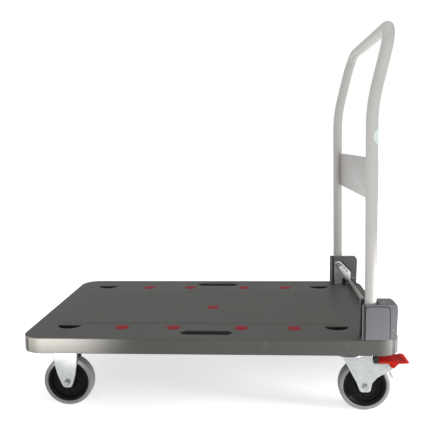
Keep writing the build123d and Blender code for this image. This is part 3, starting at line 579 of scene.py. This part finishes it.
def tube_mesh(name, path, radius, sides=40):
    """A round tube along a path, its ring carried along without twist, and its ends closed."""
    verts = []
    rows = []
    side = (path[1] - path[0]).normalized().orthogonal().normalized()
    for i, here in enumerate(path):
        ahead = (path[min(i + 1, len(path) - 1)] - path[max(i - 1, 0)]).normalized()
        side = (side - ahead * side.dot(ahead)).normalized()
        up = ahead.cross(side)
        rows.append([len(verts) + k for k in range(sides)])
        for k in range(sides):
            turn = 2 * math.pi * k / sides
            verts.append(here + (side * math.cos(turn) + up * math.sin(turn)) * radius)
    faces = [*bands(rows, sides), rows[0][::-1], rows[-1]]
    return flip_outward(mesh_from(name, verts, faces))


def slab_mesh(name, xs, ys, zs, corner):
    """A flat plate with rounded corners, lying level."""
    loop = rounded([(xs[0], ys[0]), (xs[1], ys[0]), (xs[1], ys[1]), (xs[0], ys[1])], corner)
    count = len(loop)
    verts = [seat(p.x, p.y, z) for z in zs for p in loop]
    rows = [list(range(count)), list(range(count, 2 * count))]
    return flip_outward(mesh_from(name, verts, [rows[0][::-1], rows[1], *bands(rows, count)]))


# ------------------------------------------------------------------ wheels
# half profiles as (radius, y), in mm about the wheel's middle
TYRE_HALF = [
    (51.2, -15.0), (51.8, -15.7), (52.8, -16.0), (55.0, -15.9), (57.8, -15.9), (59.4, -15.3),
    (60.5, -14.1), (61.0, -12.4), (61.25, -9.0), (61.4, -4.0), (61.42, -0.5), (61.5, -0.2)]
HUB_HALF = [
    (8.6, -18.4), (14.2, -18.4), (15.2, -17.6), (18.0, -12.8), (19.0, -11.6), (19.4, -8.0),
    (21.0, -6.4), (24.0, -6.0), (33.0, -6.4), (34.0, -7.4), (35.2, -7.6), (36.2, -6.8),
    (40.6, -7.0), (41.8, -8.4), (42.8, -12.0), (43.8, -12.8), (45.2, -12.9), (46.0, -14.2),
    (47.0, -14.9), (49.8, -15.0), (50.8, -14.5), (51.15, -13.6)]
RIB_OUTLINE = ((18.8, 6.2), (18.8, 8.6), (30.0, 7.2), (42.4, 8.0), (42.4, 6.2))
RIB_HALF = 0.9
RIB_COUNT = 10


def rib_mesh(centre, side, turn):
    """One low rib across the web of a hub."""
    swing = Matrix.Rotation(turn, 3, "Y")
    verts = []
    for radius, y in RIB_OUTLINE:
        for wide in (-RIB_HALF, RIB_HALF):
            verts.append(centre + (swing @ Vector((radius, side * y, wide))) * MM)
    total = len(verts)
    faces = [list(range(0, total, 2)), list(range(total - 1, 0, -2))]
    faces += [[i, i + 1, (i + 3) % total, (i + 2) % total] for i in range(0, total, 2)]
    return flip_outward(mesh_from("rib", verts, faces))


def hub_mesh(name, centre):
    parts = [lathe(name, there_and_back(HUB_HALF), centre)]
    for side in (-1, 1):
        for i in range(RIB_COUNT):
            parts.append(rib_mesh(centre, side, 2 * math.pi * (i + 0.5) / RIB_COUNT))
    return join_meshes(name, parts)


for kind in ("fixed", "swivel"):
    for tag in SIDES:
        tyre = f"{kind}_tyre_{tag}"
        hub = f"{kind}_hub_{tag}"
        wheel = f"{kind}_wheel_{tag}"
        mesh = lathe(tyre + "_look", there_and_back(TYRE_HALF), middle(hub), steps=128)
        add_piece(tyre + "_look", mesh, wheel, "tyre", [tyre], smooth_deg=50)
        mesh = hub_mesh(hub + "_look", middle(hub))
        add_piece(hub + "_look", mesh, wheel, "hub", [hub], smooth_deg=40)

# ------------------------------------------------------------------ deck tread
FIELD_LOW = Vector((-405.0, -176.0))
FIELD_HIGH = Vector((345.0, 176.0))
FIELD_T = 0.4
FIELD_MARGIN = 9.0
LOZENGE_HALF = Vector((7.0, 4.1))
LOZENGE_PITCH = Vector((16.0, 9.8))
LOZENGE_RISE = 0.5
LOZENGE_SINK = 0.05
LOZENGE_TOP_SHARE = 0.82
DOT_MIDDLE = Vector((2.0, -22.0))
DOT_CLEARING = 25.0


def tread_mesh():
    """Low lozenges in staggered rows over the raised field, with a clearing round the middle dot."""
    verts = []
    faces = []
    field = FIELD_HIGH - FIELD_LOW
    rows = int((field.y - 2 * FIELD_MARGIN) / (LOZENGE_PITCH.y / 2))
    columns = int((field.x - 2 * FIELD_MARGIN) / LOZENGE_PITCH.x)
    levels = ((1.0, FIELD_T - LOZENGE_SINK), (LOZENGE_TOP_SHARE, FIELD_T + LOZENGE_RISE))
    for row in range(rows + 1):
        shift = LOZENGE_PITCH.x / 2 if row % 2 else 0.0
        for column in range(columns):
            spot = Vector((FIELD_LOW.x + FIELD_MARGIN + LOZENGE_HALF.x + shift + column * LOZENGE_PITCH.x,
                           FIELD_LOW.y + FIELD_MARGIN + row * LOZENGE_PITCH.y / 2))
            if (spot - DOT_MIDDLE).length < DOT_CLEARING:
                continue
            low = [len(verts) + i for i in range(4)]
            high = [len(verts) + 4 + i for i in range(4)]
            for share, rise in levels:
                for dx, dy in ((-1, 0), (0, -1), (1, 0), (0, 1)):
                    verts.append(seat(spot.x + dx * share * LOZENGE_HALF.x,
                                      spot.y + dy * share * LOZENGE_HALF.y, rise))
            faces += [high, *bands([low, high], 4)]
    return mesh_from("deck_tread", verts, faces)


add_piece("deck_tread", tread_mesh(), "platform", "tread", smooth_deg=10)

# ------------------------------------------------------------------ grip dots
DOT_Y = 208.7
DOT_XS = (-216.8, -86.0, 86.0, 216.8)
DOT_SPOTS = [(x, side * DOT_Y, 0.0) for side in (-1, 1) for x in DOT_XS]
DOT_SPOTS.append((*DOT_MIDDLE, 0.5 * FIELD_T))
DOT_PROFILE = [(0.0, 0.75), (5.0, 0.72), (11.6, 0.6), (12.4, 0.3), (13.2, 0.3), (14.0, 0.62),
               (15.6, 0.6), (16.7, 0.35), (17.3, -0.1), (17.4, -2.9)]
ORIGIN = Vector((0, 0, 0))


def dots_mesh():
    """Shallow rubber discs, each with a groove round it."""
    parts = [stand_up(lathe("dot", DOT_PROFILE, ORIGIN, steps=48), seat(*spot)) for spot in DOT_SPOTS]
    return join_meshes("grip_dots_look", parts)


add_piece("grip_dots_look", dots_mesh(), "platform", "dots", ["grip_dots"], smooth_deg=45)

# ------------------------------------------------------------------ caster forks
# leg outlines as (x, z), x about the axle and z below the deck's top
LEG_FACE = 23.5
LEG_RIM = 4.5
LEG_BEND = 2.4
LEG_SHEET = 2.4
FIXED_X = -345.0
FIXED_CORNER = 9.0
FIXED_LEG = [(-33.5, -33.5), (-32.5, -60.0), (-30.5, -79.0), (-24.0, -105.0), (-14.8, -127.0),
             (-9.0, -136.8), (9.0, -136.8), (14.0, -127.0), (20.5, -105.0), (25.0, -79.0),
             (26.5, -55.0), (26.5, -33.5)]
PLATE_HALF = (52.5, 42.0)
PLATE_Z = (-33.5, -29.5)
PLATE_CORNER = 7.0
SWIVEL_X = 345.0
SWIVEL_Y = 253.0
TRAIL = 37.0
SWIVEL_CORNER = 5.0
SWIVEL_LEG = [(-60.0, -39.5), (-22.0, -111.0), (-13.0, -133.5), (-7.0, -136.6), (7.0, -136.6),
              (13.0, -133.5), (16.5, -114.0), (27.0, -101.0), (66.0, -76.0), (67.0, -63.0),
              (18.0, -62.8), (17.0, -51.0), (13.5, -39.5)]
CROWN_X = (SWIVEL_X - 37.0, SWIVEL_X + TRAIL + 12.0)
CROWN_Z = (-46.0, -42.2)
CROWN_CORNER = 16.0
CROWN_DISC = [(8.2, -42.0), (24.0, -41.4), (33.0, -42.0), (36.2, -43.4), (37.0, -46.0), (8.2, -46.0),
              (8.2, -42.0)]


def leg_mesh(outline, x, y_face, side, corner):
    """One pressed leg: its face outwards, its rim bent in towards the wheel."""
    loop = rounded([(x + px, pz) for px, pz in outline], corner, steps=4)
    mesh = pressing("leg", loop, lambda u, v, d: seat(u, y_face - side * d, v), LEG_RIM, LEG_BEND)
    return flip_outward_shell(mesh, Vector((0, side, 0)))


def add_legs(name, body, outline, x, y, corner):
    parts = [leg_mesh(outline, x, y + side * LEG_FACE, side, corner) for side in (-1, 1)]
    made = add_piece(name, join_meshes(name, parts), body, "zinc", smooth_deg=45)
    thicken(made, LEG_SHEET)


def add_fixed_fork(tag):
    fork = f"fixed_fork_{tag}"
    y = middle(fork).y / MM
    add_legs(f"fixed_legs_{tag}", "platform", FIXED_LEG, FIXED_X, y, FIXED_CORNER)
    name = f"fixed_plate_{tag}"
    xs = (FIXED_X - PLATE_HALF[0], FIXED_X + PLATE_HALF[0])
    ys = (y - PLATE_HALF[1], y + PLATE_HALF[1])
    plate = slab_mesh(name, xs, ys, PLATE_Z, PLATE_CORNER)
    soften(add_piece(name, plate, "platform", "zinc", [fork]), 0.8)


def add_swivel_fork(tag, side):
    body = f"swivel_{tag}"
    y = side * SWIVEL_Y
    add_legs(f"swivel_legs_{tag}", body, SWIVEL_LEG, SWIVEL_X + TRAIL, y, SWIVEL_CORNER)
    name = f"swivel_crown_{tag}"
    crown = slab_mesh(name, CROWN_X, (y - LEG_FACE, y + LEG_FACE), CROWN_Z, CROWN_CORNER)
    disc = stand_up(lathe("swivel_disc", CROWN_DISC, ORIGIN, steps=72), seat(SWIVEL_X, y, 0))
    mesh = join_meshes(name, [crown, disc])
    soften(add_piece(name, mesh, body, "zinc", [f"swivel_fork_{tag}"], smooth_deg=40), 0.6)


for tag, side in SIDES.items():
    add_fixed_fork(tag)
    add_swivel_fork(tag, side)

# ------------------------------------------------------------------ handle
POST_Y = 281.7
POST_R = 13.6
FOOT = (391.0, 12.0)
KNEE = (385.2, 540.0)
CROWN = (427.5, 721.0)
BENDS = (400.0, 70.0, 70.0, 400.0)
POST_LEAN = math.atan2(FOOT[0] - KNEE[0], KNEE[1] - FOOT[1])
PANEL_Z = (320.0, 420.0)
PANEL_FRONT = 7.5
PANEL_DEPTH = 10.0
PANEL_HALF_Y = 270.0
PANEL_CORNER = 3.0
PANEL_BEND = 2.0
PANEL_LIP = 12.0
PANEL_SHEET = 1.5
LABEL_Z = 471.0
LABEL_R = 20.0
LABEL_RINGS = (0.0, 5.0, 10.0, 14.0, 16.5, 17.8, LABEL_R)
LABEL_TURN = math.radians(-4.0)
LABEL_LIFT = 0.25
LABEL_FILM = 0.2


def post_x(z):
    """Where the lower, straight part of a post stands at a height."""
    return FOOT[0] + (z - FOOT[1]) / (KNEE[1] - FOOT[1]) * (KNEE[0] - FOOT[0])


def handle_mesh():
    """One bent tube: up the near post, over the crown and down the far post."""
    near = [(x, -POST_Y, z) for x, z in (FOOT, KNEE, CROWN)]
    far = [(x, -y, z) for x, y, z in reversed(near)]
    path = [seat(*point) for point in fillet_path(near + far, BENDS)]
    return tube_mesh("handle_tube_look", path, POST_R * MM)


def panel_place(u, v, d):
    """u across, v up the posts from the panel's middle, d behind its face."""
    height = (PANEL_Z[0] + PANEL_Z[1]) / 2
    out = PANEL_FRONT + d
    x = post_x(height) + out * math.cos(POST_LEAN) - v * math.sin(POST_LEAN)
    z = height + v * math.cos(POST_LEAN) + out * math.sin(POST_LEAN)
    return seat(x, u, z)


def panel_mesh():
    """A shallow pressed tray between the posts, open at the back."""
    half = (PANEL_Z[1] - PANEL_Z[0]) / 2
    corners = [(-PANEL_HALF_Y, -half), (PANEL_HALF_Y, -half), (PANEL_HALF_Y, half), (-PANEL_HALF_Y, half)]
    loop = rounded(corners, PANEL_CORNER, steps=4)
    mesh = pressing("handle_panel_look", loop, panel_place, PANEL_DEPTH, PANEL_BEND, lip=PANEL_LIP)
    return flip_outward_shell(mesh, Vector((-1, 0, 0)))


def label_mesh(steps=48):
    """A round film on the near post: its rings are laid out flat, then bent round the tube."""
    verts = []
    rows = []
    skin = POST_R + LABEL_LIFT
    for radius in LABEL_RINGS:
        count = steps if radius else 1
        rows.append([len(verts) + i for i in range(count)] * (steps // count))
        for i in range(count):
            turn = 2 * math.pi * i / steps
            z = LABEL_Z + radius * math.sin(turn)
            swing = LABEL_TURN + radius * math.cos(turn) / skin
            verts.append(seat(post_x(z) + skin * math.cos(swing), -POST_Y + skin * math.sin(swing), z))
    return mesh_from("handle_label_look", verts, bands(rows, steps))


add_piece("handle_tube_look", handle_mesh(), "handle", "paint", ["handle_tube"],
          smooth_deg=45)
panel = add_piece("handle_panel_look", panel_mesh(), "handle", "panel", ["handle_panel"],
                  smooth_deg=45)
thicken(panel, PANEL_SHEET)
label = add_piece("handle_label_look", label_mesh(), "handle", "film", ["handle_label"])
thicken(label, LABEL_FILM)

# ------------------------------------------------------------------ release levers
LEVER_SIDE = [(380.2, 65.0), (382.0, 71.5), (388.0, 74.2), (396.0, 73.0), (424.0, 45.0),
              (429.0, 39.0), (429.5, 14.0), (427.0, 8.4), (420.0, 7.4), (414.5, 10.5)]
LEVER_CORNER = 3.5
LEVER_Y = (259.8, 263.4)
LEVER_EDGE = 0.7
HOLE_R = 1.9
HOLE_FIRST = (398.5, 61.0)
HOLE_STEP = (8.5, -9.5)
HOLE_COUNT = 3

lever_holes = [circle_points(HOLE_FIRST[0] + i * HOLE_STEP[0], HOLE_FIRST[1] + i * HOLE_STEP[1], HOLE_R)
               for i in range(HOLE_COUNT)]
lever = cut_plate("lever_look", rounded(LEVER_SIDE, LEVER_CORNER), lever_holes, *LEVER_Y, LEVER_EDGE)
add_piece("lever_far_look", lever, "release", "bright", ["lever_far"], smooth_deg=40)
add_piece("lever_near_look", mirror_y(lever), "release", "bright", ["lever_near"], smooth_deg=40)

# ------------------------------------------------------------------ screws with sockets
SCREW_PROFILE = [(0.0, 0.7), (1.3, 0.7), (1.35, 1.75), (1.9, 1.95), (2.9, 1.7), (3.6, 1.1),
                 (3.95, 0.3), (4.0, 0.0)]
SCREW_X = 438.5
SIDE_SCREW = (298.9, 24.0)
SIDE_SCREW_SCALE = 0.55
TOP_SCREW = (419.0, 283.0, 86.5)
INNER_SCREW = (260.5, 19.0)


def screw_head(spot, direction, scale=1.0):
    """A domed head with a round socket, looking along direction."""
    mesh = lathe("screw", [(r * scale, y * scale) for r, y in SCREW_PROFILE], ORIGIN, steps=32)
    turn = Vector((0, 1, 0)).rotation_difference(Vector(direction)).to_matrix().to_4x4()
    mesh.transform(Matrix.Translation(seat(*spot)) @ turn)
    return mesh


heads = []
for side in SIDES.values():
    heads.append(screw_head((SCREW_X, side * SIDE_SCREW[0], SIDE_SCREW[1]), (0, side, 0), SIDE_SCREW_SCALE))
    heads.append(screw_head((TOP_SCREW[0], side * TOP_SCREW[1], TOP_SCREW[2]), (0, 0, 1)))
    heads.append(screw_head((SCREW_X, side * INNER_SCREW[0], INNER_SCREW[1]), (0, -side, 0)))
add_piece("cover_screws_look", join_meshes("cover_screws_look", heads), "platform", "steel",
          ["cover_screws"], smooth_deg=50)

# ------------------------------------------------------------------ kept CAD nodes
dress("deck", "deck_shell")
dress("cover", "cover_near", "cover_far", soft=0.25)
dress("dull", "bracket_near", "bracket_far", soft=0.4)
dress("zinc", "swivel_plate_near", "swivel_plate_far", soft=0.6)
dress("steel", "kingpins", "fixed_axles", "fixed_nuts", "swivel_axle_near", "swivel_axle_far", soft=0.7)
dress("steel", "plate_bolts", "bracket_bolts", "pivot_pins", "lever_pins", soft=0.4)
dress("steel", "deck_inserts", "fixed_sleeves", "lever_springs", "swivel_balls_near", "swivel_balls_far")
dress("bar", "release_bar", soft=0.3)
dress("black", "bar_stops", "pedal_cap_near", "pedal_cap_far", "foot_plugs", soft=0.5)
dress("dull", "brake_shoe_near", "brake_shoe_far", soft=0.5)
dress("pedal", "pedal_pin_near", "pedal_pin_far", soft=0.4)
dress("pedal", "pedal_near", "pedal_far", soft=1.2)
dress("nylon", "pivot_bushes")
dress("paint", "lock_lugs", soft=0.6)

# ------------------------------------------------------------------ stage
FLOOR_DARK = (0.84, 0.84, 0.84)
FLOOR_LIGHT = (0.87, 0.87, 0.87)
FLOOR_GLOW = 0.62
FLOOR_HALF = 14.0
FLOOR_CELLS = 8
AMBIENT = 0.58
BACKDROP = 1.05
WARM = (1.0, 0.935, 0.915)

# each lamp: name, place, aim, size, power in watts, colour, and spread in degrees
LAMPS = (
    ("overhead", (0.0, 0.3, 3.0), (0.0, 0.0, 0.2), (3.0, 2.4), 14.0, WHITE, 180),
    ("low_left", (-0.54, -0.62, 0.15), (-0.52, -0.30, 0.21), (0.46, 0.04), 1.2, WARM, 40),
    ("low_right", (0.80, -0.36, 0.19), (0.44, -0.28, 0.167), (0.16, 0.06), 0.8, WHITE, 70),
    ("right", (2.2, -1.5, 1.4), (0.35, 0.0, 0.5), (1.2, 1.6), 3.2, WHITE, 180),
    ("front", (0.5, -2.6, 1.7), (0.0, 0.0, 0.2), (2.4, 1.0), 8.5, WHITE, 180))


def floor_material():
    """Matt pale paper with a soft glow of its own."""
    material, tree, bsdf, coord = shader("floor_look", rough=0.9, specular=0.1)
    cloud = noise_out(tree, coord, scale=1.3, detail=2.0)
    body = ramp_out(tree, cloud, FLOOR_DARK, FLOOR_LIGHT, low=0.3, high=0.7)
    tree.links.new(body, bsdf.inputs["Base Color"])
    bsdf.inputs["Emission Color"].default_value = (*WHITE, 1.0)
    bsdf.inputs["Emission Strength"].default_value = FLOOR_GLOW
    return material


def add_floor():
    work = bmesh.new()
    bmesh.ops.create_grid(work, x_segments=FLOOR_CELLS, y_segments=FLOOR_CELLS, size=FLOOR_HALF)
    mesh = bpy.data.meshes.new("floor")
    work.to_mesh(mesh)
    work.free()
    mesh.materials.append(floor_material())
    floor = bpy.data.objects.new("floor", mesh)
    bpy.context.scene.collection.objects.link(floor)


def background_out(tree, strength):
    made = tree.nodes.new("ShaderNodeBackground")
    made.inputs["Color"].default_value = (*WHITE, 1.0)
    made.inputs["Strength"].default_value = strength
    return made.outputs[0]


def add_sky():
    """Even white light all round, with a brighter white where the camera looks past the floor."""
    world = bpy.data.worlds.new("studio")
    world.use_nodes = True
    bpy.context.scene.world = world
    tree = world.node_tree
    for old in list(tree.nodes):
        tree.nodes.remove(old)
    seen = tree.nodes.new("ShaderNodeLightPath").outputs["Is Camera Ray"]
    blend = tree.nodes.new("ShaderNodeMixShader")
    out = tree.nodes.new("ShaderNodeOutputWorld")
    tree.links.new(seen, blend.inputs[0])
    tree.links.new(background_out(tree, AMBIENT), blend.inputs[1])
    tree.links.new(background_out(tree, BACKDROP), blend.inputs[2])
    tree.links.new(blend.outputs[0], out.inputs["Surface"])


def add_softbox(name, place, aim, size, power, colour, spread):
    lamp = bpy.data.lights.new(name, "AREA")
    lamp.shape = "RECTANGLE"
    lamp.size = size[0]
    lamp.size_y = size[1]
    lamp.energy = power
    lamp.color = colour
    lamp.spread = math.radians(spread)
    made = bpy.data.objects.new(name, lamp)
    bpy.context.scene.collection.objects.link(made)
    made.location = place
    made.rotation_euler = (Vector(aim) - Vector(place)).to_track_quat("-Z", "Y").to_euler()


add_floor()
add_sky()
for lamp in LAMPS:
    add_softbox(*lamp)

bpy.context.scene.view_settings.view_transform = "Standard"

# ------------------------------------------------------------------ camera
CAMERA_PLACE = (0.10314, -1.67474, 0.65099)
CAMERA_YAW = math.radians(3.74)
CAMERA_DIP = math.radians(7.03)
CAMERA_ROLL = math.radians(-0.82)
LENS_MM = 50.5
SENSOR_MM = 36.0
CLIP = (0.05, 60.0)

lens = bpy.data.cameras.new("camera")
lens.sensor_width = SENSOR_MM
lens.lens = LENS_MM
lens.clip_start = CLIP[0]
lens.clip_end = CLIP[1]
camera = bpy.data.objects.new("camera", lens)
bpy.context.scene.collection.objects.link(camera)
turn = (Matrix.Rotation(CAMERA_YAW, 4, "Z") @ Matrix.Rotation(math.radians(90) - CAMERA_DIP, 4, "X")
        @ Matrix.Rotation(CAMERA_ROLL, 4, "Z"))
camera.matrix_world = Matrix.Translation(CAMERA_PLACE) @ turn
bpy.context.scene.camera = camera
